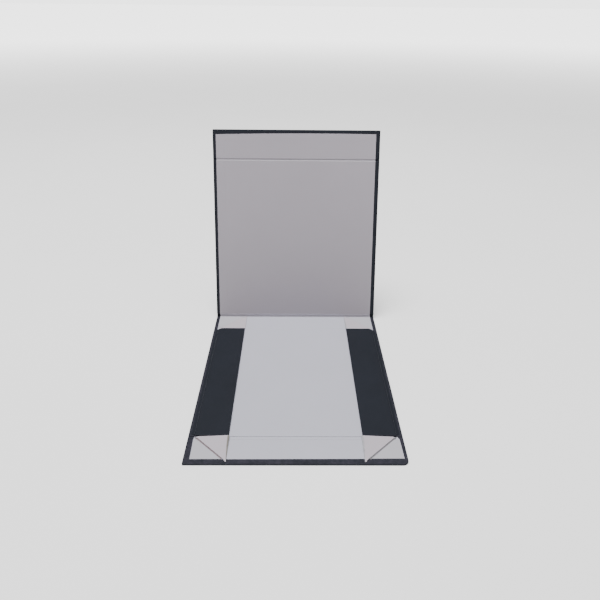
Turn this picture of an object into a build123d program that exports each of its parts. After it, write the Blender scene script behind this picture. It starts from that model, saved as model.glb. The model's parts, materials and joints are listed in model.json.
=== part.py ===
# Collapsible gift box, lying collapsed with its lid standing open.
# Frame: X to the right, Y to the back, Z up, origin at the centre of the base's underside.
from build123d import *
import math
import os

# Driving dimensions, in millimetres and degrees
case_width = 230.0
side_wall_height = 36.8
side_wall_length = 219.6
side_hinge_inset = 6.2

board_thickness = 2.0
side_board_thickness = 1.5
cover_paper = 0.2
liner_paper = 0.2
turn_in_width = 15.0
border = 4.0
corner_radius = 1.2

crease_gutter = 5.0
crease_height = 1.0
side_hinge_lift = 0.2
relief_along_wall = 3.0
relief_up_wall = 4.0
side_turn_in = 9.0
side_lining_margin = 2.5
tab_width = 4.0

gusset_size = 37.2
gusset_vertex_overlap = 1.5
gusset_corner_cut = 3.5
gusset_lift = 3.0
gusset_card = 0.3
gusset_paper = 0.15
anchor_paper = 0.3
crease_gap = 0.3

front_wall_drop = 1.2
lid_clearance = 0.3
spine_length = 6.5
spine_angle = 100.0
lid_angle = 99.5
lid_end_gap = 0.6
flap_gap_to_wall = 0.5
flap_crease_offset = 0.8
flap_floor_clearance = 2.2
pivot_inset = 0.3
running_gap = 0.2

magnet_diameter = 12.0
magnet_thickness = 1.5
keeper_thickness = 0.8
magnet_fit = 0.15
magnet_spacing = 120.0
magnet_height = 16.0

# Sizes that follow
border_top = cover_paper + board_thickness + cover_paper
panel_top = border_top + liner_paper
side_wall_thickness = liner_paper + cover_paper + side_board_thickness + cover_paper
half_width = case_width / 2
side_end = side_wall_length / 2
wall_inner_face = side_end + running_gap + anchor_paper
crease_y = wall_inner_face + panel_top - crease_height
base_half_depth = crease_y - crease_gutter / 2
side_hinge_x = half_width - side_hinge_inset
side_rim_x = side_hinge_x - side_wall_height
side_hinge_z = panel_top + side_hinge_lift
side_top = side_hinge_z + side_wall_height

panel_start = crease_gutter / 2
front_wall_end = side_top - front_wall_drop - crease_height
spine_height = side_top + lid_clearance + panel_top - pivot_inset
back_pivot = spine_height - spine_length - crease_height
back_wall_end = back_pivot - pivot_inset
back_pivot_y = crease_y + back_pivot

erect_pivot_y = crease_y + crease_height - pivot_inset
flap_crease = erect_pivot_y + crease_y + crease_height + flap_gap_to_wall + panel_top - pivot_inset
lid_end = flap_crease - (panel_top - pivot_inset) - crease_gap
flap_start = flap_crease + flap_crease_offset
flap_end = flap_crease + spine_height - flap_floor_clearance


def box(x0, x1, y0, y1, z0, z1):
    """Box from its lowest and highest values along each axis."""
    size = Box(x1 - x0, y1 - y0, z1 - z0, align=(Align.MIN, Align.MIN, Align.MIN))
    return Pos(x0, y0, z0) * size


def rounded(shape, y_edges, radius):
    """Round the upright corner edges that stand at the given places along Y."""
    corners = [
        edge
        for edge in shape.edges().filter_by(Axis.Z)
        if any(abs(edge.center().Y - y) < 0.01 for y in y_edges)
    ]
    return fillet(corners, radius) if corners else shape


def wrapped_panel(start, end, end_wrapped):
    """Board, cover and liner of a panel that runs from start to end along Y.

    The cover turns in over both sides, and over the far end too where it is wrapped.
    """
    hem = cover_paper if end_wrapped else 0.0
    turn = turn_in_width if end_wrapped else 0.0
    rim = border if end_wrapped else 0.0
    rounds = [end] if end_wrapped else []
    board = box(-half_width + cover_paper, half_width - cover_paper, start, end - hem,
                cover_paper, cover_paper + board_thickness)
    board = rounded(board, [end - hem] if end_wrapped else [], corner_radius - cover_paper)
    outer = rounded(box(-half_width, half_width, start, end, 0, border_top), rounds, corner_radius)
    window_x = half_width - turn_in_width
    window = box(-window_x, window_x, start, end - turn, border_top - cover_paper, border_top)
    liner = box(-half_width + border, half_width - border, start, end - rim, border_top, panel_top)
    return board, outer - board - window, liner + window


def disc_pair(y, z, diameter, thickness):
    """Two discs, one each side of the middle, standing on the height z."""
    return [
        Pos(side * magnet_spacing / 2, y, z + thickness / 2) * Cylinder(diameter / 2, thickness)
        for side in (-1, 1)
    ]


def rear(shape):
    """Turn a panel that runs towards +Y from the crease into its place behind the base."""
    return Pos(0, crease_y, 0) * shape


def front(shape):
    """Turn a panel that runs towards +Y from the crease into its place in front of the base."""
    return mirror(Pos(0, crease_y, 0) * shape, about=Plane.XZ)


def sides(shape):
    """A left piece and its mirror image on the right."""
    return {"left": shape, "right": mirror(shape, about=Plane.YZ)}


def base_parts():
    """Base board in its cover and liner, and the paper that crosses both gutters."""
    board = box(-half_width + cover_paper, half_width - cover_paper, -base_half_depth, base_half_depth,
                cover_paper, cover_paper + board_thickness)
    outer = box(-half_width, half_width, -base_half_depth, base_half_depth, 0, border_top)
    window_x = half_width - turn_in_width
    window = box(-window_x, window_x, -base_half_depth, base_half_depth, border_top - cover_paper, border_top)
    liner_x = side_hinge_x - running_gap / 2
    liner = box(-liner_x, liner_x, -base_half_depth, base_half_depth, border_top, panel_top)
    parts = {"base_board": board, "base_cover": outer - board - window, "base_liner": liner + window}
    gutter_end = base_half_depth + crease_gutter
    gutter_cover = box(-half_width, half_width, base_half_depth, gutter_end, 0, cover_paper)
    gutter_liner = box(-half_width + border, half_width - border, base_half_depth, gutter_end,
                       border_top, panel_top)
    parts["back_hinge_cover"] = gutter_cover
    parts["back_hinge_liner"] = gutter_liner
    parts["front_hinge_cover"] = mirror(gutter_cover, about=Plane.XZ)
    parts["front_hinge_liner"] = mirror(gutter_liner, about=Plane.XZ)
    return parts


def side_tabs():
    """Flanges of the side walls' covers, glued down on the base beside the hinges."""
    outer_x = side_hinge_x + tab_width
    points = [
        (-outer_x, -side_end + relief_along_wall),
        (-side_hinge_x, -side_end + 2 * relief_along_wall),
        (-side_hinge_x, side_end - 2 * relief_along_wall),
        (-outer_x, side_end - relief_along_wall),
    ]
    tab = Pos(0, 0, border_top) * extrude(make_face(Polyline(*points, close=True)), liner_paper)
    return {f"{side}_wall_tab": shape for side, shape in sides(tab).items()}


def side_outline(inset):
    """Outline of a side wall lying folded in, its hinge side corners cut back for the gussets."""
    x0, x1 = -side_hinge_x + inset, -side_rim_x - inset
    y = side_end - inset
    return Polyline(
        (x0, -y + relief_along_wall), (x0 + relief_up_wall, -y), (x1, -y),
        (x1, y), (x0 + relief_up_wall, y), (x0, y - relief_along_wall), close=True,
    )


def side_walls():
    """Both side walls lying folded in on the base, with their outer faces up."""
    z = side_hinge_z
    window = Pos(0, 0, z + liner_paper) * extrude(make_face(side_outline(side_turn_in)), cover_paper)
    board = Pos(0, 0, z + liner_paper + cover_paper) * extrude(
        make_face(side_outline(cover_paper)), side_board_thickness)
    outer = Pos(0, 0, z + liner_paper) * extrude(
        make_face(side_outline(0)), side_wall_thickness - liner_paper)
    lining = Pos(0, 0, z) * extrude(make_face(side_outline(side_lining_margin)), liner_paper)
    parts = {}
    for name, shape in (("board", board), ("cover", outer - board - window), ("lining", lining + window)):
        for side, placed in sides(shape).items():
            parts[f"{side}_wall_{name}"] = placed
    return parts


def gusset_face(edge_inset, diagonal_inset, reach):
    """Moving half of a gusset, from its vertex at 0, 0: the crease runs along its diagonal.

    Its tip is cut off square at the reach, where a shorter wall leaves no room for it.
    """
    size = gusset_size - edge_inset
    cut = gusset_corner_cut + edge_inset
    step = diagonal_inset * math.sqrt(2)
    tip = min(size - step, reach - edge_inset)
    points = [(cut, edge_inset), (size, edge_inset), (size, tip), (tip + step, tip), (cut, cut - step)]
    if tip + step > size - 0.001:
        points.remove((tip + step, tip))
    return make_face(Polyline(*points, close=True))


def gussets():
    """Folding corner gussets: a glued half on each wall and a stiffened half that moves."""
    parts = {}
    low = panel_top + running_gap / 4
    full = 2 * gusset_paper + gusset_card
    axis_height = panel_top + anchor_paper + running_gap
    crease = Axis((0, 0, axis_height), (1, 1, 0))
    vertex_s = -gusset_vertex_overlap
    vertex = Pos(-side_hinge_x, vertex_s, 0)
    rim_x = -half_width + border
    shift = -side_hinge_x - vertex_s - crease_gap * math.sqrt(2)
    rows = (
        ("front", front, front_wall_end - border, front_wall_end),
        ("rear", rear, back_wall_end - crease_gap, back_wall_end - crease_gap),
    )
    for row, place, liner_end, wall_end in rows:
        points = [(rim_x, panel_start), (shift + panel_start, panel_start), (shift + liner_end, liner_end),
                  (rim_x, liner_end)]
        anchor = Pos(0, 0, panel_top) * extrude(make_face(Polyline(*points, close=True)), anchor_paper)
        for side, shape in sides(place(anchor)).items():
            parts[f"{row}_{side}_gusset_anchor"] = shape
        reach = wall_end - vertex_s
        inner = gusset_face(gusset_paper, crease_gap, reach)
        card = Pos(0, 0, low + gusset_paper) * extrude(inner, gusset_card)
        paper = Pos(0, 0, low) * extrude(gusset_face(0, crease_gap, reach), full) - card
        for name, half in (("card", card), ("paper", paper)):
            turned = half.rotate(crease, -gusset_lift)
            for side, shape in sides(place(vertex * turned)).items():
                parts[f"{row}_{side}_gusset_{name}"] = shape
    return parts


def front_wall():
    """Front wall lying flat, with the steel keepers under its cover."""
    board, cover, liner = wrapped_panel(panel_start, front_wall_end, True)
    y = magnet_height - crease_height
    pockets = disc_pair(y, cover_paper, magnet_diameter + 2 * magnet_fit, keeper_thickness)
    keepers = disc_pair(y, cover_paper, magnet_diameter, keeper_thickness)
    return {
        "front_wall_board": front(board - pockets),
        "front_wall_cover": front(cover),
        "front_wall_liner": front(liner),
        "front_wall_keepers": front(Compound(children=keepers)),
    }


def back_wall():
    """Back wall lying flat."""
    board, cover, liner = wrapped_panel(panel_start, back_wall_end, False)
    return {
        "back_wall_board": rear(board),
        "back_wall_cover": rear(cover),
        "back_wall_liner": rear(liner),
    }


def strip(start, end, half, low, high):
    """Thin strip along X, from start to end along the lid and from low to high off its pivot line."""
    return box(-half, half, start, end, low + pivot_inset, high + pivot_inset)


def standing(angle, origin):
    """Place that stands a flat panel up from a hinge, turned to the angle above forward level."""
    y, z = origin
    return Pos(0, y, z) * Rot(180 - angle, 0, 0) * Pos(0, 0, -pivot_inset)


def lid_parts():
    """Spine strip, lid and closing flap, standing open."""
    spine_place = standing(spine_angle, (back_pivot_y, pivot_inset))
    spine_turn = math.radians(spine_angle)
    hinge_y = back_pivot_y - spine_length * math.cos(spine_turn)
    hinge_z = pivot_inset + spine_length * math.sin(spine_turn)
    place = standing(lid_angle, (hinge_y, hinge_z))
    liner_half = half_width - border
    gap = pivot_inset
    parts = {
        "spine_cover": spine_place * strip(gap, spine_length - gap, half_width, -cover_paper, 0),
        "spine_liner": spine_place * strip(gap, spine_length - gap, liner_half, 0, liner_paper),
    }
    board, cover, liner = wrapped_panel(lid_end_gap, lid_end, False)
    parts["lid_board"] = place * board
    parts["lid_cover"] = place * cover
    parts["lid_liner"] = place * liner
    parts["flap_hinge_cover"] = place * strip(lid_end, flap_start, half_width, -cover_paper, 0)
    parts["flap_hinge_liner"] = place * strip(lid_end, flap_start, liner_half, 0, liner_paper)
    board, cover, liner = wrapped_panel(flap_start, flap_end, True)
    magnet_y = flap_crease + spine_height - magnet_height
    magnet_z = cover_paper + board_thickness - magnet_thickness
    pockets = disc_pair(magnet_y, magnet_z, magnet_diameter + 2 * magnet_fit, magnet_thickness)
    magnets = disc_pair(magnet_y, magnet_z, magnet_diameter, magnet_thickness)
    parts["flap_board"] = place * (board - pockets)
    parts["flap_cover"] = place * cover
    parts["flap_liner"] = place * liner
    parts["flap_magnets"] = place * Compound(children=magnets)
    return parts


def main():
    """Write one STEP file for each piece."""
    os.makedirs("parts", exist_ok=True)
    parts = {}
    for made in (base_parts(), side_tabs(), side_walls(), front_wall(), back_wall(), gussets(), lid_parts()):
        parts.update(made)
    for name, shape in parts.items():
        export_step(shape, f"parts/{name}.step")
    print(len(parts), "pieces")
    print("front and back crease at y", round(crease_y, 3), "height", crease_height)
    print("side hinge at x", round(side_hinge_x, 3), "z", round(side_hinge_z, 3))
    print("spine pivot at y", round(back_pivot_y, 3), "z", pivot_inset)
    print("lid", round(lid_end, 3), "flap crease", round(flap_crease, 3), "flap end", round(flap_end, 3))


main()
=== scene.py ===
import json
import math

import bmesh
import bpy
from mathutils import Matrix, Vector, noise


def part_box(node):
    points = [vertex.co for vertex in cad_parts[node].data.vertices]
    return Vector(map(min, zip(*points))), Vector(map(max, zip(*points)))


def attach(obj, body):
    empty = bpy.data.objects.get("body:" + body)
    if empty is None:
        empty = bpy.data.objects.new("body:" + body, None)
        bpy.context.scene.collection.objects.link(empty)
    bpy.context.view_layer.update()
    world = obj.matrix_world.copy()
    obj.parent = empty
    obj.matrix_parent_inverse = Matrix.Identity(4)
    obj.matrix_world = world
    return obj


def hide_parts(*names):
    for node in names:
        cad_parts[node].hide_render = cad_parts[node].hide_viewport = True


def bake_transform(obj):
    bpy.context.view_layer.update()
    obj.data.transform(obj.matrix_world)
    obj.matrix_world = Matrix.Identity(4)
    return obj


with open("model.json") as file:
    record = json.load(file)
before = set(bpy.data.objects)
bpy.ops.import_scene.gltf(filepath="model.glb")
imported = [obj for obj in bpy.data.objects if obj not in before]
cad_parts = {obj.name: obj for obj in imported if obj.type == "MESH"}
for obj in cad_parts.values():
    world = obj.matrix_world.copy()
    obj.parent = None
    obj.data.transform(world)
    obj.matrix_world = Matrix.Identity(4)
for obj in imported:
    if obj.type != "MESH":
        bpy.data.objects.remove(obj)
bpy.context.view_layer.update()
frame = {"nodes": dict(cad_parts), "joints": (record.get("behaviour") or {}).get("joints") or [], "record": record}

MM = 0.001
root_two = math.sqrt(2)

# Which way each side and each row of gussets lies from the box's middle, and the gussets' walls
outward = {"left": -1, "right": 1, "front": -1, "rear": 1}
wall_of = {"front": "front_wall", "rear": "back_wall"}

# Covers and their edges
edge_radius = 0.4 * MM
edge_share = 0.48  # the largest share of a thickness that one rounded edge takes
edge_stand = 0.75 * MM  # how far the paper stands off a board's side edge
edge_wear = 0.3
base_border_wear = 0.9
lid_border_wear = 0.1
flat_margin = 0.25 * MM
square_corner = 2.4 * MM  # beyond this rounding, the square board would poke out of its cover

# Linings, and the cover's turn-in below them
liner_thickness = 0.2 * MM
turn_in_width = 15 * MM
turn_in_step = 0.10 * MM
turn_in_blend = 1.4 * MM

# How wide the cover shows beside each lining, in mm: (left, right) at its start, (left, right) at its end
side_borders = {
    "front_wall": ((5.5, 3.5), (6.2, 3.0)),
    "front_crease": ((6.2, 5.4), (5.5, 3.5)),
    "base": ((6.2, 6.2), (6.2, 6.2)),
    "back_crease": ((4.2, 4.4), (4.2, 4.4)),
    "back_wall": ((4.2, 4.4), (4.0, 4.4)),
    "spine_foot": ((4.2, 4.4), (4.2, 4.4)),
    "lid_foot": ((3.8, 4.8), (3.8, 4.8)),
    "lid": ((3.8, 4.8), (3.7, 5.0)),
    "flap_crease": ((3.8, 4.8), (3.8, 4.8)),
    "flap": ((3.7, 5.0), (3.6, 5.0)),
}

# The same along the wrapped far end of a board: left, right, and how much less in the middle
far_borders = {"front_wall": (6.1, 7.2, 0), "flap": (6.7, 5.2, 1.1)}

# Rounding of the corners at a wrapped far end, in mm: left, right
corner_rounding = {"front_wall": (0.9, 6.0), "flap": (1.0, 1.3)}

# Unevenness: how far, and how many waves to a metre
edge_waver = 0.10 * MM
edge_waves = 45
sheet_waver = 0.03 * MM
sheet_waves = 22
seed_spacing = 7.31

# How fine the meshes are
station_step = 4 * MM
liner_grid = 7 * MM
strip_grid = 8 * MM
closest_lines = 0.2 * MM
crease_points = 14
curve_samples = 12
arc_steps = 4
corner_steps = 7
sharp_angle = math.radians(38)

# Camera, fitted to the photograph: 600 pixels wide, optical axis through pixel (300, 240)
photo_width = 600
focal_pixels = 581.6
axis_row = 240
sensor = 36.0
camera_place = Vector((-3.9, -607.3, 438.3)) * MM
camera_pitch = math.radians(22.524)
camera_yaw = math.radians(-0.727)
camera_roll = math.radians(0.598)

# Light and floor
surround_strength = 0.28
surround_seen = 3.0
key_place = (-0.5, -0.22, 4.2)
key_aim = (0, 0.05, 0.05)
key_size = 2.2
key_energy = 265
floor_half = 40.0
floor_glow = 0.4
glow_start = 1.6
glow_end = 7.0


# Frame


def joint_at(name):
    """Where a joint's axis stands at rest."""
    for joint in frame["joints"]:
        if joint["name"] == name:
            return Vector(joint["pos_m"])
    raise ValueError(name)


def panel_axes(origin, along):
    """Matrix from a panel's own axes (x, t, n) to the frame, its inner side towards the viewer or up."""
    along = along.normalized()
    normal = Vector((0, -along.z, abs(along.y))) if abs(along.z) > 0.01 else Vector((0, 0, 1))
    columns = Matrix((Vector((1, 0, 0)), along, normal)).transposed().to_4x4()
    return Matrix.Translation(origin) @ columns


def extent(node, axes):
    """Lowest and highest x, t and n of a CAD node in a panel's axes."""
    back = axes.inverted()
    points = [back @ v.co for v in frame["nodes"][node].data.vertices]
    return [(min(p[i] for p in points), max(p[i] for p in points)) for i in range(3)]


def place_piece(obj, body):
    """Let a piece ride on its body."""
    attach(obj, body)


# Numbers and curves


def smooth(value):
    """Ease from 0 to 1."""
    value = min(1.0, max(0.0, value))
    return value * value * (3 - 2 * value)


def wobble(a, b, scale, seed):
    """Smooth unevenness between about -1 and 1, the same in every run."""
    return noise.noise(Vector((a * scale, b * scale, seed * seed_spacing)))


def evenly(count):
    """Evenly spaced values from 0 to 1."""
    return [k / count for k in range(count + 1)]


def steps(start, end, spacing):
    """Evenly spaced values from start to end, no further apart than the spacing."""
    count = max(1, math.ceil(abs(end - start) / spacing))
    return [start + (end - start) * k / count for k in range(count + 1)]


def closing_steps(reach):
    """Distances from an end, from within the reach down to 0, ever closer together."""
    return [reach * (1 - math.sin(math.pi / 2 * k / corner_steps)) for k in range(1, corner_steps + 1)]


def shares(length, spacing, marks=()):
    """Grid lines from 0 to 1 over a length, with extra ones at and beside the marked distances."""
    found = set(round(v, 7) for v in steps(0.0, 1.0, spacing / length))
    for mark in marks:
        for k in range(-2, 3):
            value = (mark + k * turn_in_blend / 3) / length
            if 0 < value < 1:
                found.add(round(value, 7))
    lines = sorted(found)
    kept = [lines[0]]
    for value in lines[1:-1]:
        if (value - kept[-1]) * length > closest_lines:
            kept.append(value)
    return kept + [lines[-1]]


def round_off(distance, radius):
    """How far a rounded corner stands back from the edge line at a distance from its end."""
    if distance >= radius:
        return 0.0
    return radius - math.sqrt(max(0.0, radius ** 2 - (radius - distance) ** 2))


def tangents(path):
    """Direction of a path at each of its points."""
    last = len(path) - 1
    return [(path[min(i + 1, last)] - path[max(i - 1, 0)]).normalized() for i in range(last + 1)]


def curve_through(points, count):
    """Smooth curve through a few points, as evenly spaced points."""
    ends = [points[0] * 2 - points[1]] + points + [points[-1] * 2 - points[-2]]
    fine = []
    for i in range(1, len(ends) - 2):
        p0, p1, p2, p3 = ends[i - 1:i + 3]
        for k in range(curve_samples):
            u = k / curve_samples
            fine.append(0.5 * (2 * p1 + (p2 - p0) * u + (2 * p0 - 5 * p1 + 4 * p2 - p3) * u * u
                               + (3 * p1 - p0 - 3 * p2 + p3) * u ** 3))
    fine.append(points[-1])
    along = [0.0]
    for a, b in zip(fine, fine[1:]):
        along.append(along[-1] + (b - a).length)
    found, i = [], 0
    for k in range(count + 1):
        goal = along[-1] * k / count
        while i < len(fine) - 2 and along[i + 1] < goal:
            i += 1
        span = along[i + 1] - along[i]
        share = (goal - along[i]) / span if span else 0.0
        found.append(fine[i].lerp(fine[i + 1], min(1.0, share)))
    return found


# Meshes


def finish_mesh(name, points, faces, materials, wear_and_painted_shade=None, face_material=None):
    """Closed mesh object with soft shading, sharp where its faces turn steeply."""
    mesh = bpy.data.meshes.new(name)
    mesh.from_pydata([tuple(p) for p in points], [], faces)
    for m in materials:
        mesh.materials.append(m)
    if face_material is not None:
        mesh.polygons.foreach_set("material_index", face_material)
    # The point attribute carries worn patches on the navy covers and painted shade on the flap crease's lining.
    if wear_and_painted_shade is not None:
        layer = mesh.attributes.new("wear_and_painted_shade", "FLOAT", "POINT")
        layer.data.foreach_set("value", wear_and_painted_shade)
    bm = bmesh.new()
    bm.from_mesh(mesh)
    bmesh.ops.recalc_face_normals(bm, faces=bm.faces)
    for face in bm.faces:
        face.smooth = True
    for edge in bm.edges:
        if len(edge.link_faces) == 2 and edge.calc_face_angle(0) > sharp_angle:
            edge.smooth = False
    bm.to_mesh(mesh)
    bm.free()
    obj = bpy.data.objects.new(name, mesh)
    bpy.context.scene.collection.objects.link(obj)
    return obj


def loft(name, rings, wear_and_painted_shade):
    """Closed navy mesh through rings of as many points each, with a flat face over each end."""
    count = len(rings[0])
    points = [p for ring in rings for p in ring]
    faces = [list(range(count)), [(len(rings) - 1) * count + i for i in range(count)]]
    for r in range(len(rings) - 1):
        for i in range(count):
            j = (i + 1) % count
            faces.append([r * count + i, r * count + j, (r + 1) * count + j, (r + 1) * count + i])
    return finish_mesh(name, points, faces, [navy], [w for ring in wear_and_painted_shade for w in ring])


def section(outer, inner, left, right, radius, inner_wear=0.0):
    """One rounded section across a board, from its outer to its inner face, and how worn each point is."""
    height = (inner - outer).length
    r = min(radius, height * edge_share)
    inset = r + flat_margin
    arc = [math.pi / 2 * share for share in evenly(arc_steps)]
    loop = [(left + inset, 0, 0), (right - inset, 0, 0)]
    loop += [(right - r + r * math.sin(a), r - r * math.cos(a), edge_wear) for a in arc]
    loop += [(right - r + r * math.cos(a), height - r + r * math.sin(a), edge_wear) for a in arc]
    loop += [(right - inset, height, inner_wear), (left + inset, height, inner_wear)]
    loop += [(left + r - r * math.sin(a), height - r + r * math.cos(a), edge_wear) for a in arc]
    loop += [(left + r - r * math.cos(a), r - r * math.sin(a), edge_wear) for a in arc]
    rise = (inner - outer) / height
    return [outer + rise * s + Vector((x, 0, 0)) for x, s, w in loop], [w for x, s, w in loop]


def grid_rim(w, h):
    """Points around a grid, in turn."""
    rim = list(range(w)) + [j * w + w - 1 for j in range(1, h)]
    return rim + [(h - 1) * w + i for i in range(w - 2, -1, -1)] + [j * w for j in range(h - 2, 0, -1)]


def grid_sheet(name, put, xs, ts, top, thickness, material, painted_shade=None):
    """Thin sheet over a grid: put(a, b, n) places a point, top(a, b) is its upper face's height.

    Where it is given, the last argument gives for each (a, b) how much painted shade darkens the paper there.
    """
    upper = [put(a, b, top(a, b)) for b in ts for a in xs]
    lower = [put(a, b, top(a, b) - thickness) for b in ts for a in xs]
    w, h = len(xs), len(ts)
    faces = []
    for j in range(h - 1):
        for i in range(w - 1):
            a = j * w + i
            faces.append([a, a + 1, a + w + 1, a + w])
            faces.append([w * h + a, w * h + a + w, w * h + a + w + 1, w * h + a + 1])
    rim = grid_rim(w, h)
    for k, a in enumerate(rim):
        b = rim[(k + 1) % len(rim)]
        faces.append([a, w * h + a, w * h + b, b])
    wear_and_painted_shade = [painted_shade(a, b) for b in ts for a in xs] * 2 if painted_shade else None
    return finish_mesh(name, upper + lower, faces, [material], wear_and_painted_shade)


# Materials

paper_warmth = (1.06, 1.0, 0.94)
paper_roughness = 0.80
roughness_spread = 0.05
noise_low, noise_high = 0.3, 0.7  # where most of a noise's values lie


def new_material(name):
    """Empty node material with its principled shader."""
    made = bpy.data.materials.new(name)
    made.use_nodes = True
    tree = made.node_tree
    return made, tree, tree.nodes["Principled BSDF"]


def add(tree, kind, **values):
    """Shader node with some of its properties and input values set."""
    made = tree.nodes.new(kind)
    for key, value in values.items():
        if hasattr(made, key):
            setattr(made, key, value)
        else:
            made.inputs[key.replace("_", " ").title()].default_value = value
    return made


def noise_at(tree, scale, detail, stretch=None, roughness=0.55):
    """Noise by place on the object, in features per metre."""
    source = add(tree, "ShaderNodeTexCoord").outputs["Object"]
    if stretch:
        mapping = add(tree, "ShaderNodeMapping", scale=stretch)
        tree.links.new(source, mapping.inputs["Vector"])
        source = mapping.outputs["Vector"]
    made = add(tree, "ShaderNodeTexNoise", scale=scale, detail=detail, roughness=roughness)
    tree.links.new(source, made.inputs["Vector"])
    return made.outputs["Fac"]


def ramp(tree, source, low, high):
    """Colour between two colours by a noise's value."""
    made = add(tree, "ShaderNodeValToRGB")
    made.color_ramp.elements[0].position = noise_low
    made.color_ramp.elements[1].position = noise_high
    made.color_ramp.elements[0].color = (*low, 1)
    made.color_ramp.elements[1].color = (*high, 1)
    tree.links.new(source, made.inputs["Fac"])
    return made.outputs["Color"]


def mix(tree, share, first, second):
    """Mix of two colours, each a colour or a socket, by a socket's share."""
    made = add(tree, "ShaderNodeMix", data_type="RGBA")
    for socket, value in ((made.inputs[0], share), (made.inputs[6], first), (made.inputs[7], second)):
        if isinstance(value, tuple):
            socket.default_value = (*value, 1)
        else:
            tree.links.new(value, socket)
    return made.outputs[2]


def scaled(tree, source, low, high):
    """A noise's value moved into another range."""
    made = add(tree, "ShaderNodeMapRange", from_min=noise_low, from_max=noise_high, to_min=low, to_max=high)
    tree.links.new(source, made.inputs["Value"])
    return made.outputs["Result"]


def bump(tree, shader, layers):
    """Bumps stacked on each other: each layer is a height and a depth in metres."""
    normal = None
    for height, depth in layers:
        made = add(tree, "ShaderNodeBump", distance=depth, strength=1.0)
        tree.links.new(height, made.inputs["Height"])
        if normal is not None:
            tree.links.new(normal, made.inputs["Normal"])
        normal = made.outputs["Normal"]
    tree.links.new(normal, shader.inputs["Normal"])


def shade(value, factor):
    """A colour made lighter or darker."""
    return tuple(c * factor for c in value)


def paper(name, colour, painted_shade_colour=None, spread=0.015, warmth=paper_warmth, fibre_depth=0.04 * MM):
    """Uncoated paper: cloudy formation, short fibres and a fine tooth, with painted shade where a shade colour is
    given.
    """
    made, tree, shader = new_material(name)
    clouds = noise_at(tree, scale=14, detail=3)
    flecks = noise_at(tree, scale=900, detail=5)
    fibres = noise_at(tree, scale=1500, detail=3, stretch=(1.0, 0.22, 0.6))
    tooth = noise_at(tree, scale=3200, detail=2)
    base = ramp(tree, clouds, shade(colour, 1 - spread), shade(colour, 1 + spread))
    base = mix(tree, scaled(tree, flecks, 0.0, 0.10), base, tuple(c * w for c, w in zip(colour, warmth)))
    # Painted shade: the point attribute mixes the paper towards the darker colour.
    if painted_shade_colour:
        wear_and_painted_shade_node = add(tree, "ShaderNodeAttribute", attribute_name="wear_and_painted_shade")
        base = mix(tree, wear_and_painted_shade_node.outputs["Fac"], base, painted_shade_colour)
    tree.links.new(base, shader.inputs["Base Color"])
    roughness = scaled(tree, fibres, paper_roughness - roughness_spread, paper_roughness + roughness_spread)
    tree.links.new(roughness, shader.inputs["Roughness"])
    shader.inputs["Specular IOR Level"].default_value = 0.3
    bump(tree, shader, [(fibres, fibre_depth), (tooth, fibre_depth * 0.5)])
    return made


def cover_paper(name, colour, worn):
    """Matt navy covering paper with a fine pressed grain, worn paler along the board's edges."""
    made, tree, shader = new_material(name)
    clouds = noise_at(tree, scale=18, detail=4)
    grain = noise_at(tree, scale=1700, detail=4, roughness=0.65)
    patches = noise_at(tree, scale=160, detail=5, roughness=0.7)
    ripples = noise_at(tree, scale=420, detail=3)
    base = ramp(tree, clouds, shade(colour, 0.90), shade(colour, 1.10))
    base = mix(tree, scaled(tree, grain, 0.0, 0.16), base, shade(colour, 1.7))
    wear_and_painted_shade_node = add(tree, "ShaderNodeAttribute", attribute_name="wear_and_painted_shade")
    share = add(tree, "ShaderNodeMath", operation="MULTIPLY")
    tree.links.new(wear_and_painted_shade_node.outputs["Fac"], share.inputs[0])
    tree.links.new(scaled(tree, patches, 0.0, 0.75), share.inputs[1])
    base = mix(tree, share.outputs[0], base, worn)
    tree.links.new(base, shader.inputs["Base Color"])
    tree.links.new(scaled(tree, grain, 0.60, 0.72), shader.inputs["Roughness"])
    shader.inputs["Specular IOR Level"].default_value = 0.2
    bump(tree, shader, [(grain, 0.06 * MM), (ripples, 0.05 * MM)])
    return made


def card(name, colour):
    """Brown or grey card with coarse fibres."""
    made, tree, shader = new_material(name)
    fibres = noise_at(tree, scale=700, detail=5, stretch=(1.0, 0.3, 1.0))
    base = ramp(tree, fibres, shade(colour, 0.75), shade(colour, 1.25))
    tree.links.new(base, shader.inputs["Base Color"])
    shader.inputs["Roughness"].default_value = 0.85
    bump(tree, shader, [(fibres, 0.05 * MM)])
    return made


def steel_plate(name):
    """Plated steel discs inside the boards."""
    made, tree, shader = new_material(name)
    shader.inputs["Metallic"].default_value = 1.0
    clouds = noise_at(tree, scale=300, detail=3)
    scuffs = noise_at(tree, scale=900, detail=3)
    base = ramp(tree, clouds, (0.52, 0.53, 0.55), (0.66, 0.67, 0.69))
    tree.links.new(base, shader.inputs["Base Color"])
    tree.links.new(scaled(tree, scuffs, 0.25, 0.4), shader.inputs["Roughness"])
    return made


def table_top(name):
    """Plain pale floor, which brightens into the surround far from the box."""
    made, tree, shader = new_material(name)
    clouds = noise_at(tree, scale=3, detail=3)
    base = ramp(tree, clouds, (0.94, 0.94, 0.94), (0.97, 0.97, 0.97))
    tree.links.new(base, shader.inputs["Base Color"])
    shader.inputs["Roughness"].default_value = 0.9
    shader.inputs["Specular IOR Level"].default_value = 0.1
    shader.inputs["Emission Color"].default_value = (1.0, 1.0, 1.0, 1)
    distance = add(tree, "ShaderNodeVectorMath", operation="LENGTH")
    tree.links.new(add(tree, "ShaderNodeTexCoord").outputs["Object"], distance.inputs[0])
    glow = add(tree, "ShaderNodeMapRange", interpolation_type="SMOOTHSTEP", from_min=glow_start,
               from_max=glow_end, to_min=floor_glow, to_max=surround_seen)
    tree.links.new(distance.outputs["Value"], glow.inputs["Value"])
    tree.links.new(glow.outputs["Result"], shader.inputs["Emission Strength"])
    return made


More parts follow.
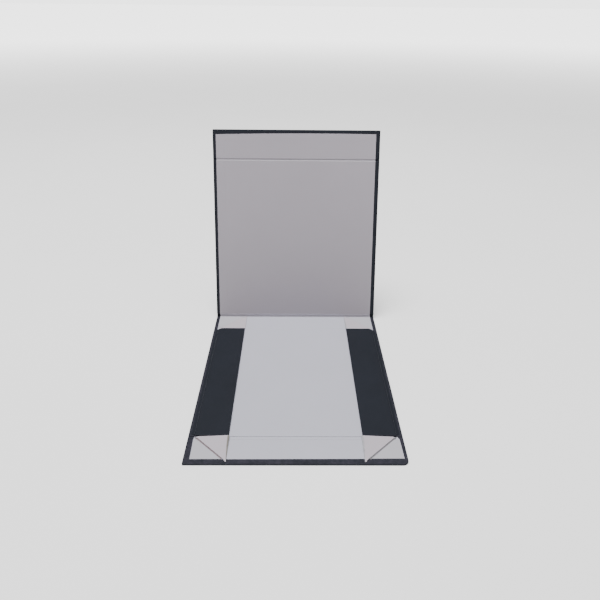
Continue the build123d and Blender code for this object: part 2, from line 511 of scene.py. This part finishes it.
navy = cover_paper("navy_paper", (0.0098, 0.0120, 0.0180), (0.045, 0.041, 0.058))
pale = paper("liner_paper", (0.480, 0.480, 0.550))
# Painted shade: the lid's and flap's lining is the lining paper made darker and warmer where it stands upright.
lid_painted_shade_pale = paper("lid_liner_painted_shade", (0.390, 0.362, 0.402))
# Painted highlight and painted shade: the flap crease's lining is the lining paper made lighter, with a darker
# colour for painted shade on the flap's side.
crease_painted_light_pale = paper("creased_liner_painted_light", (0.505, 0.482, 0.528), painted_shade_colour=(0.300, 0.278, 0.310))
# Painted light: the lining in the recess at the lid's foot is the lining paper made lighter, against its shade.
foot_painted_light_pale = paper("lid_foot_liner_painted_light", (0.600, 0.573, 0.627))
# Painted shade: the glued gusset halves are the lining paper in a separate, darker shade.
glued_painted_shade_pale = paper("glued_gusset_painted_shade", (0.455, 0.445, 0.488), spread=0.02, fibre_depth=0.05 * MM)
# The gusset paper's pinkish tone is partly its own and partly painted shade, a little darker than the lining
# paper.
gusset_pale = paper("gusset_paper", (0.475, 0.432, 0.480), spread=0.02, warmth=(1.08, 1.0, 0.92),
                    fibre_depth=0.05 * MM)
kraft = card("kraft_card", (0.20, 0.125, 0.105))
brown_crease = card("brown_crease_card", (0.190, 0.150, 0.163))
# The raw card edge of the left front gusset: the card's own grey-brown, made darker as painted shade than the pale
# edge of the other gussets.
bare_edge_painted_shade = card("bare_edge_card", (0.190, 0.177, 0.155))
pale_edge = card("pale_edge_card", (0.360, 0.355, 0.380))
# Painted shade: a dark grey strip laid along the right front gusset's diagonal crease.
grey_painted_shade_crease = card("grey_crease_card", (0.150, 0.143, 0.155))
grey = card("greyboard", (0.38, 0.36, 0.33))
plate = steel_plate("steel")
by_slot = {"navy_paper": navy, "liner_paper": pale, "gusset_paper": gusset_pale, "kraft_card": kraft,
           "greyboard": grey, "steel": plate}


def dress_nodes():
    """Give every CAD node that stays the material of its slot."""
    for part in frame["record"]["subparts"]:
        node = frame["nodes"][part["node"]]
        node.data.materials.clear()
        node.data.materials.append(by_slot[part["material_slot"]])


dress_nodes()


# Boards

front_crease = joint_at("front_wall_fold")
back_crease = joint_at("back_wall_fold")
spine_foot = joint_at("spine_fold")
lid_hinge = joint_at("lid_open")
flap_crease = joint_at("flap_fold")
base_axes = panel_axes(Vector((0, 0, 0)), Vector((0, 1, 0)))
front_axes = panel_axes(Vector((0, front_crease.y, 0)), Vector((0, -1, 0)))
back_axes = panel_axes(Vector((0, back_crease.y, 0)), Vector((0, 1, 0)))
spine_axes = panel_axes(spine_foot, lid_hinge - spine_foot)
lid_axes = panel_axes(lid_hinge, flap_crease - lid_hinge)
case_low, case_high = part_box("base_cover")
border_top = case_high.z


def board_skin(board, axes, border_wear, seed):
    """Cover of one board: rounded long edges, a straight cut at a crease and a wrapped far end.

    It also stands for the board inside where a corner is rounded too far for the square board.
    """
    (x0, x1), (t0, t1), (n0, n1) = extent(f"{board}_cover", axes)
    wrapped_end = board in far_borders
    left_corner, right_corner = [c * MM for c in corner_rounding.get(board, (0, 0))]
    reach = max(left_corner, right_corner, edge_radius) if wrapped_end else 0.0
    stations = steps(t0, t1 - reach, station_step)
    if wrapped_end:
        stations += [t1 - d for d in closing_steps(reach)]
    rings, wear_and_painted_shade = [], []
    for t in stations:
        lift = round_off(t1 - t, edge_radius) if wrapped_end else 0.0
        left = x0 - edge_stand + round_off(t1 - t, left_corner)
        right = x1 + edge_stand - round_off(t1 - t, right_corner)
        left += edge_waver * wobble(t, 0, edge_waves, seed)
        right += edge_waver * wobble(t, 0, edge_waves, seed + 1)
        outer, inner = axes @ Vector((0, t, n0 + lift)), axes @ Vector((0, t, n1 - lift))
        ring, worn = section(outer, inner, left, right, edge_radius,
                             border_wear * (1 - lift / edge_radius))
        rings.append(ring)
        wear_and_painted_shade.append(worn)
    obj = loft(f"{board}_cover_paper", rings, wear_and_painted_shade)
    inside = [f"{board}_board"] if max(left_corner, right_corner) > square_corner else []
    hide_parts(f"{board}_cover", *inside)
    place_piece(obj, board)


def liner_sheet(board, axes, material, seed):
    """Lining of one board, with the edge of the cover's turn-in faintly showing through it."""
    (_, _), (t0, t1), (_, n1) = extent(f"{board}_liner", axes)
    (bx0, bx1), (_, bt1), _ = extent(f"{board}_cover", axes)
    wrapped_end = board in far_borders
    start_left, start_right, end_left, end_right = [b * MM for pair in side_borders[board] for b in pair]
    far_left, far_right, bow = [b * MM for b in far_borders.get(board, (0, 0, 0))]
    back = axes.inverted()

    def put(a, b, n):
        far = bt1 - far_left * (1 - a) - far_right * a + bow * 4 * a * (1 - a) if wrapped_end else t1
        t = t0 + (far - t0) * b
        left = bx0 + start_left + (end_left - start_left) * b
        right = bx1 - start_right - (end_right - start_right) * b
        return axes @ Vector((left + (right - left) * a, t, n))

    def top(a, b):
        p = back @ put(a, b, 0)
        inward = min(p.x - bx0, bx1 - p.x)
        if wrapped_end:
            inward = min(inward, bt1 - p.y)
        step = smooth((inward - turn_in_width + turn_in_blend / 2) / turn_in_blend)
        return n1 - turn_in_step * step + sheet_waver * (wobble(p.x, p.y, sheet_waves, seed) - 0.5)

    width, length = bx1 - bx0, t1 - t0
    marks = (turn_in_width - start_left, width - turn_in_width - start_right)
    end_marks = (length - turn_in_width + far_left,) if wrapped_end else ()
    obj = grid_sheet(f"{board}_lining_paper", put, shares(width, liner_grid, marks),
                     shares(length, liner_grid, end_marks), top, liner_thickness, material)
    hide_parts(f"{board}_liner")
    place_piece(obj, board)


def case_boards():
    """Covers and linings of the five boards."""
    rows = (
        # board, axes, lining, border wear, seed
        ("base", base_axes, pale, base_border_wear, 1.0),
        ("front_wall", front_axes, pale, base_border_wear, 3.0),
        ("back_wall", back_axes, pale, base_border_wear, 5.0),
        # The lid and flap linings take the painted-shade copy of the lining paper.
        ("lid", lid_axes, lid_painted_shade_pale, lid_border_wear, 7.0),
        ("flap", lid_axes, lid_painted_shade_pale, lid_border_wear, 9.0),
    )
    for board, axes, lining, border_wear, seed in rows:
        board_skin(board, axes, border_wear, seed)
        liner_sheet(board, axes, lining, seed)


case_boards()


# Creases

pressed_depth = 0.35 * MM  # how far a cover is pressed in between two boards
wall_line_place = 0.1 * MM
wall_line_half = 0.75 * MM
gutter_sag = 0.12 * MM
lid_slope = 2.1 * MM
flap_slope = 1.25 * MM
trough_floor = 0.9 * MM
trough_margin = 0.05 * MM
# Where the painted shade on the flap's side of the crease lining starts, as a share across it, and over what share
# it blends in
painted_shade_start, painted_shade_blend = 0.60, 0.1
# Curves of the spine strip: shares of its length, and mm off the line between its hinges
spine_outer = ((0.13, -0.25), (0.5, -0.25), (0.92, -0.25))
spine_inner = ((0.42, 0.40), (0.62, 0.25), (0.85, 0.40))
spine_middle = (0.5, 0.1)
spine_pivot_height = 0.2


def strip_skin(piece, profile, node, border_wear):
    """Cover that crosses a crease: a profile of outer and inner points, closed at both ends."""
    rings, wear_and_painted_shade = [], []
    for outer, inner in profile:
        ring, worn = section(outer, inner, case_low.x - edge_stand, case_high.x + edge_stand, edge_radius,
                             border_wear)
        rings.append(ring)
        wear_and_painted_shade.append(worn)
    obj = loft(f"{piece}_cover_paper", rings, wear_and_painted_shade)
    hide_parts(node)
    return obj


def strip_liner(piece, profile, node, material, painted_shade):
    """Lining that crosses a crease on the inner points of a cover's profile."""
    path = [inner for outer, inner in profile]
    last = len(path) - 1
    rises = [Vector((0, -d.z, d.y)) for d in tangents(path)]
    if sum(r.dot(inner - outer) for r, (outer, inner) in zip(rises, profile)) < 0:
        rises = [-r for r in rises]
    (left0, right0), (left1, right1) = [(case_low.x + left * MM, case_high.x - right * MM)
                                        for left, right in side_borders[piece]]

    def put(a, b, n):
        i = round(b * last)
        left = left0 + (left1 - left0) * b
        right = right0 + (right1 - right0) * b
        return path[i] + rises[i] * n + Vector((left + (right - left) * a, 0, 0))

    obj = grid_sheet(f"{piece}_lining_paper", put, shares(right0 - left0, strip_grid), evenly(last),
                     lambda a, b: liner_thickness, liner_thickness, material, painted_shade)
    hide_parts(node)
    return obj


def bend_papers(piece, profile, nodes, lining, pivots, border_wear=0.0, painted_shade=None):
    """Cover and lining over a crease, fixed where they lie at rest."""
    cover = strip_skin(piece, profile, nodes[0], border_wear)
    liner = strip_liner(piece, profile, nodes[1], lining, painted_shade)
    for obj, slot in ((cover, "navy_paper"), (liner, "liner_paper")):
        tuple(pivots[0])
        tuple(pivots[1])
        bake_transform(obj)


def pressed_profile(axes, ts, outer, top):
    """Outer and inner points of a cover that is pressed in along a crease."""
    profile = []
    for t in ts:
        share = (t - ts[0]) / (ts[-1] - ts[0])
        under = outer + pressed_depth * math.sin(math.pi * share) ** 2
        profile.append((axes @ Vector((0, t, under)), axes @ Vector((0, t, top(t)))))
    return profile


def wall_crease(row, axes, line_depth):
    """Paper over the gutter between the base and the front or back wall.

    The lining bridges the gutter nearly flush, with a fine line where the base board ends.
    """
    (_, _), (t0, t1), (outer, _) = extent(f"{row}_hinge_cover", axes)
    line = t0 + wall_line_place

    def top(t):
        groove = line_depth * (1 - smooth(abs(t - line) / wall_line_half))
        return border_top - groove - gutter_sag * math.sin(math.pi * (t - t0) / (t1 - t0))

    ts = steps(t0, t1, (t1 - t0) / (2 * crease_points))
    pivots = [axes @ Vector((0, t, border_top / 2)) for t in (t0, t1)]
    bend_papers(f"{row}_crease", pressed_profile(axes, ts, outer, top),
                (f"{row}_hinge_cover", f"{row}_hinge_liner"), pale, pivots,
                base_border_wear)


def flap_crease_paper():
    """Trough between the lid and the flap, pressed down to the cover, its lining lighter as a painted highlight
    and darker on the flap's side as painted shade.
    """
    (_, _), (t0, t1), (outer, _) = extent("flap_hinge_cover", lid_axes)
    (_, _), (_, _), (_, rim) = extent("lid_cover", lid_axes)
    depth = rim - outer - trough_floor

    def top(t):
        return rim - depth * min(1.0, (t - t0) / lid_slope, (t1 - t) / flap_slope)

    spacing = (t1 - t0) / (2 * crease_points)
    ts = sorted({t0, t1, *steps(t0 + trough_margin, t1 - trough_margin, spacing)})
    pivots = [lid_axes @ Vector((0, t, outer)) for t in (t0, t1)]
    bend_papers("flap_crease", pressed_profile(lid_axes, ts, outer, top),
                ("flap_hinge_cover", "flap_hinge_liner"), crease_painted_light_pale, pivots,
                painted_shade=lambda a, b: smooth((b - painted_shade_start) / painted_shade_blend))


def spine_paper():
    """Cover and lining of the spine strip, which bend at its foot and at the lid's hinge.

    The two papers are glued together with no board, so that the spine is a recess between the back wall
    and the lid.
    """
    (_, _), (_, wall_end), _ = extent("back_wall_cover", back_axes)
    (_, _), (lid_start, _), (lid_outer, lid_inner) = extent("lid_cover", lid_axes)
    length = (lid_hinge - spine_foot).length
    wall_low = back_axes @ Vector((0, wall_end, 0))
    wall_high = back_axes @ Vector((0, wall_end, border_top))
    lid_low = lid_axes @ Vector((0, lid_start, lid_outer))
    lid_high = lid_axes @ Vector((0, lid_start, lid_inner))

    def on_spine(share, n):
        return spine_axes @ Vector((0, length * share, n * MM))

    outer = [wall_low, *[on_spine(*p) for p in spine_outer], lid_low]
    inner = [wall_high, *[on_spine(*p) for p in spine_inner], lid_high]
    pairs = list(zip(*[curve_through(side, 2 * crease_points) for side in (outer, inner)]))
    nodes = ("spine_cover", "spine_liner")
    middle = on_spine(*spine_middle)
    wall_pivot = wall_low.lerp(wall_high, spine_pivot_height)
    lid_pivot = lid_low.lerp(lid_high, spine_pivot_height)
    # Both halves of the spine's lining take the painted-light copy of the lining paper.
    bend_papers("spine_foot", pairs[:crease_points + 1], nodes, foot_painted_light_pale,
                (wall_pivot, middle))
    bend_papers("lid_foot", pairs[crease_points:], nodes, foot_painted_light_pale, (middle, lid_pivot))


wall_crease("front", front_axes, 0.50 * MM)
wall_crease("back", back_axes, 0.12 * MM)
flap_crease_paper()
spine_paper()


# Side walls

wall_corner_along = 3.0 * MM
wall_corner_up = 4.0 * MM
wall_end_reach = 25 * MM
wall_edge_radius = 0.45 * MM
wall_rim_corner = 0.8 * MM
wall_seed = 11
fold_bulge = 1.0 * MM
fold_bulge_width = 1.4 * MM
hinge_thickness = 0.22 * MM
hinge_waver = 0.04 * MM
hinge_waves = 60
hinge_wear = 0.8
hinge_grid = 6 * MM
hinge_points = 18
hinge_seed = 21
# Curve of the hinge's paper, in mm outwards and up: from the flange's outer edge, from the foot of the
# fold, and from the fold at the height of the wall's outer face
hinge_foot = ((0, 0), (-1.4, 0.02))
hinge_rise = ((0.75, 0.45), (0.22, 1.3))
hinge_turn = ((-0.05, -0.35), (-0.75, 0.02))


def side_wall(side, front_hinge, front_rim, bulge_middle):
    """Cover of a side wall that lies folded in, with its outer face up.

    Its front end reaches a little further than the board, given at the hinge and at the rim, and the
    gathered paper of the corner bulges over the gusset's vertex. The rear end shows the board's cut corner.
    """
    sign = outward[side]
    low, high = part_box(f"{side}_wall_cover")
    hinge_x, rim_x = (low.x, high.x) if sign < 0 else (high.x, low.x)
    near = closing_steps(wall_corner_along)
    ys = [low.y + d for d in reversed(near)]
    ys += steps(low.y + wall_corner_along, high.y - wall_corner_along, station_step)
    ys += [high.y - d for d in near]
    rings, wear_and_painted_shade = [], []
    for y in ys:
        end = min(y - low.y, high.y - y)
        cut = wall_corner_up * max(0.0, 1 - (high.y - y) / wall_corner_along)
        lift = round_off(end, wall_edge_radius)
        hinge = hinge_x - sign * cut
        rim = rim_x + sign * round_off(end, wall_rim_corner)
        rim += edge_waver * wobble(y, 0, edge_waves, wall_seed + sign)
        ring, worn = section(Vector((0, y, low.z + lift)), Vector((0, y, high.z - lift)), min(hinge, rim),
                             max(hinge, rim), wall_edge_radius)
        near_front = smooth(1 - (y - low.y) / wall_end_reach)
        for p in ring:
            inward = abs(p.x - hinge_x)
            share = inward / abs(rim_x - hinge_x)
            bulge = fold_bulge * math.exp(-((inward - bulge_middle) / fold_bulge_width) ** 2)
            p.y -= near_front * (front_hinge * (1 - share) + front_rim * share)
            p.y -= bulge * smooth(1 - (y - low.y) / (2 * fold_bulge_width))
        rings.append(ring)
        wear_and_painted_shade.append([edge_wear if lift > 0 else w for w in worn])
    cover = loft(f"{side}_wall_cover_paper", rings, wear_and_painted_shade)
    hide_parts(f"{side}_wall_cover")
    place_piece(cover, f"{side}_wall")


def side_hinge(side):
    """Flange of a side wall's cover: glued to the base, then up over the wall's edge."""
    sign = outward[side]
    low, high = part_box(f"{side}_wall_tab")
    wall_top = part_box(f"{side}_wall_cover")[1].z
    outer_x, hinge_x = (low.x, high.x) if sign < 0 else (high.x, low.x)
    bends = ((outer_x, low.z, hinge_foot), (hinge_x, low.z, hinge_rise), (hinge_x, wall_top, hinge_turn))
    path = curve_through([Vector((x + sign * across * MM, 0, z + up * MM))
                          for x, z, points in bends for across, up in points], hinge_points)
    layer = [Vector((sign * d.z, 0, -sign * d.x)) * hinge_thickness for d in tangents(path)]
    worn = [hinge_wear if hinge_points // 2 < i < hinge_points - 2 else 0.0 for i in range(len(path))]
    rings = []
    for y in steps(low.y, high.y, hinge_grid):
        shift = Vector((0, y, hinge_waver * wobble(y, 0, hinge_waves, hinge_seed + sign)))
        inner = [p + shift for p in path]
        outer = [p + n + shift for p, n in zip(path, layer)]
        rings.append(inner + outer[::-1])
    obj = loft(f"{side}_wall_hinge_paper", rings, [worn + worn[::-1]] * len(rings))
    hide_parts(f"{side}_wall_tab")
    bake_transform(obj)


side_wall("left", 0.15 * MM, 0.3 * MM, 2.6 * MM)
side_wall("right", -0.35 * MM, 0.35 * MM, 0.6 * MM)
side_hinge("left")
side_hinge("right")


# Gussets

gusset_paper_layer = 0.15 * MM
gusset_thickness = 0.6 * MM
gusset_lift = math.tan(math.radians(3.0))
gusset_grid = 1.7 * MM
gusset_rows = 14
glued_inset = 0.25 * MM
glued_cells = 10
glued_waves = 3
glued_seed = 31
corner_cut = 3.3 * MM
tip_length = 3 * MM
tip_grid = 0.4 * MM
tip_closing = 1.2
# How far the halves keep off the diagonal, as shares of the strip's half width
glued_gap = 0.5
flap_gap = 0.85
crease_half = 1.2 * MM
crease_start = 0.5 * MM
crease_start_width = 0.4
crease_taper = 3 * MM
crease_end_short = 4.3 * MM
crease_rise = 0.30 * MM
crease_hollow = 0.10 * MM
crease_thickness = 0.25 * MM
crease_cells = (5, 16)


def on_gusset(row, side, u, v, height):
    """Point u inwards from a gusset's vertex and v towards its wall's end."""
    vertex = joint_at(f"{row}_{side}_gusset_fold")
    return Vector((vertex.x - outward[side] * u, vertex.y + outward[row] * v, height))


def gusset_flap(row, side, size, reach, curl, bare_card, edge_material):
    """Moving half of a corner gusset, a card between two papers.

    The upper paper may stop short of the card's free edge, by most beside the side wall.
    """
    body = f"{row}_{side}_gusset"
    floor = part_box(f"{body}_paper")[0].z
    gap = crease_half * root_two * flap_gap

    def put(u, v, n):
        away = max(0.0, (u - v) / root_two)
        share = away / (size / root_two)
        return on_gusset(row, side, u, v, floor + away * gusset_lift + curl * share * share + n)

    def far(u):
        closing = smooth((u - size + tip_closing * tip_length) / tip_length)
        return min(u - gap * (1 - closing), reach)

    def short(u, b):
        return bare_card * (1 - b * b) * (u - corner_cut) / (size - corner_cut)

    us = steps(corner_cut, size - tip_length, gusset_grid) + steps(size - tip_length, size, tip_grid)[1:]
    points = []
    for n in (0.0, gusset_paper_layer, gusset_thickness - gusset_paper_layer, gusset_thickness):
        for b in evenly(gusset_rows):
            for u in us:
                shown = u - short(u, b) if n == gusset_thickness else u
                points.append(put(shown, b * far(u), n))
    faces, kinds = [], []
    w, h = len(us), gusset_rows + 1
    for j in range(h - 1):
        for i in range(w - 1):
            for a in (j * w + i, 3 * w * h + j * w + i):
                faces.append([a, a + 1, a + w + 1, a + w])
                kinds.append(0)
    rim = grid_rim(w, h)
    for layer in range(3):
        for k, a in enumerate(rim):
            a += layer * w * h
            b = rim[(k + 1) % len(rim)] + layer * w * h
            faces.append([a, a + w * h, b + w * h, b])
            free_edge = w - 1 <= k < w + h - 2
            kinds.append(1 if layer == 1 or (layer == 2 and free_edge and bare_card) else 0)
    half = finish_mesh(f"{body}_flap", points, faces, [gusset_pale, edge_material], face_material=kinds)
    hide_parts(f"{body}_paper", f"{body}_card")
    place_piece(half, body)


def gusset_crease(row, side, length, material):
    """Strip along the diagonal crease, which joins a gusset's two halves."""
    body = f"{row}_{side}_gusset"
    panel_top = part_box(f"{body}_anchor")[0].z
    step = math.sqrt(0.5)

    def put(a, b, n):
        s = crease_start + (length - crease_start) * b
        taper = crease_start_width + (1 - crease_start_width) * (s - crease_start) / crease_taper
        off = (a * 2 - 1) * crease_half * min(1.0, taper)
        return on_gusset(row, side, s + off * step, s - off * step, n)

    def top(a, b):
        return panel_top + crease_rise - crease_hollow * math.sin(math.pi * a)

    strip = grid_sheet(f"{body}_crease", put, evenly(crease_cells[0]), evenly(crease_cells[1]), top,
                       crease_thickness, material)
    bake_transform(strip)


def gusset(row, side, curl, bare_card, edge, line, tip_short=0.0, stretch=0.0):
    """Moving half of a corner gusset and its diagonal crease, with the tip cut short or stretched."""
    vertex = joint_at(f"{row}_{side}_gusset_fold")
    low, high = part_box(f"{row}_{side}_gusset_paper")
    size = abs((high.x if side == "left" else low.x) - vertex.x) + stretch
    reach = abs((low.y if row == "front" else high.y) - vertex.y)
    gusset_flap(row, side, size, reach - tip_short, curl, bare_card, edge)
    gusset_crease(row, side, min(size, reach) - crease_end_short, line)


def glued_half(row, side, end):
    """Half of a corner gusset that is glued flat on its wall, up to the diagonal crease.

    Its outer edge keeps to the wall's lining; the end is how far the lining reaches from the vertex.
    """
    node = f"{row}_{side}_gusset_anchor"
    vertex = joint_at(f"{row}_{side}_gusset_fold")
    low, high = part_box(node)
    start = abs((high.y if row == "front" else low.y) - vertex.y)
    edge = abs((case_low.x if side == "left" else case_high.x) - vertex.x)
    column = ("left", "right").index(side)
    near_border, far_border = [pair[column] * MM for pair in side_borders[wall_of[row]]]
    gap = crease_half * root_two * glued_gap

    def put(a, b, n):
        v = start + (end - start) * b
        outer = near_border + (far_border - near_border) * b - edge + glued_inset
        return on_gusset(row, side, outer + (v - gap - outer) * a, v, n)

    seed = glued_seed + outward[side] + 2 * outward[row]

    def top(a, b):
        return high.z + sheet_waver * wobble(a, b, glued_waves, seed)

    sheet = grid_sheet(f"{row}_{side}_gusset_glued", put, evenly(glued_cells), evenly(glued_cells), top,
                       high.z - low.z, glued_painted_shade_pale)
    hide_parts(node)
    place_piece(sheet, wall_of[row])


# The left front gusset's raw card edge is darkened as painted shade.
gusset("front", "left", 0.6 * MM, 1.9 * MM, bare_edge_painted_shade, brown_crease, stretch=0.4 * MM)
# The right front gusset's diagonal strip is painted shade.
gusset("front", "right", 0.4 * MM, 2.2 * MM, pale_edge, grey_painted_shade_crease, tip_short=0.1 * MM, stretch=0.9 * MM)
gusset("rear", "left", -1.15 * MM, 0.0, pale_edge, gusset_pale)
gusset("rear", "right", -0.4 * MM, 2.0 * MM, pale_edge, gusset_pale)
glued_half("front", "left", 32.7 * MM)
glued_half("front", "right", 31.7 * MM)
glued_half("rear", "left", 35.0 * MM)
glued_half("rear", "right", 35.0 * MM)


# Studio


def key_light():
    """Soft round light from above, turned towards the box."""
    data = bpy.data.lights.new("key_light", "AREA")
    data.shape = "DISK"
    data.size = key_size
    data.energy = key_energy
    obj = bpy.data.objects.new("key_light", data)
    obj.location = key_place
    obj.rotation_euler = (Vector(key_aim) - Vector(key_place)).to_track_quat("-Z", "Y").to_euler()
    bpy.context.scene.collection.objects.link(obj)


def studio_floor():
    """Wide plain floor."""
    corners = [(-floor_half, -floor_half, 0), (floor_half, -floor_half, 0), (floor_half, floor_half, 0),
               (-floor_half, floor_half, 0)]
    mesh = bpy.data.meshes.new("floor")
    mesh.from_pydata(corners, [], [(0, 1, 2, 3)])
    mesh.materials.append(table_top("floor"))
    floor = bpy.data.objects.new("floor", mesh)
    bpy.context.scene.collection.objects.link(floor)


def surround():
    """Even white light from all around, which is itself seen brighter than it lights."""
    world = bpy.data.worlds.new("surround")
    world.use_nodes = True
    tree = world.node_tree
    background = tree.nodes["Background"]
    background.inputs["Color"].default_value = (1.0, 1.0, 1.0, 1)
    seen = add(tree, "ShaderNodeMapRange", to_min=surround_strength, to_max=surround_seen)
    tree.links.new(add(tree, "ShaderNodeLightPath").outputs["Is Camera Ray"], seen.inputs["Value"])
    tree.links.new(seen.outputs["Result"], background.inputs["Strength"])
    bpy.context.scene.world = world


def photo_camera():
    """The photograph's camera."""
    data = bpy.data.cameras.new("camera")
    data.sensor_width = sensor
    data.lens = focal_pixels / photo_width * sensor
    data.shift_y = (axis_row - photo_width / 2) / photo_width
    camera = bpy.data.objects.new("camera", data)
    turn = Matrix.Rotation(camera_yaw, 4, "Z") @ Matrix.Rotation(math.pi / 2 - camera_pitch, 4, "X")
    camera.matrix_world = Matrix.Translation(camera_place) @ turn @ Matrix.Rotation(camera_roll, 4, "Z")
    bpy.context.scene.collection.objects.link(camera)
    bpy.context.scene.camera = camera


studio_floor()
surround()
key_light()
photo_camera()
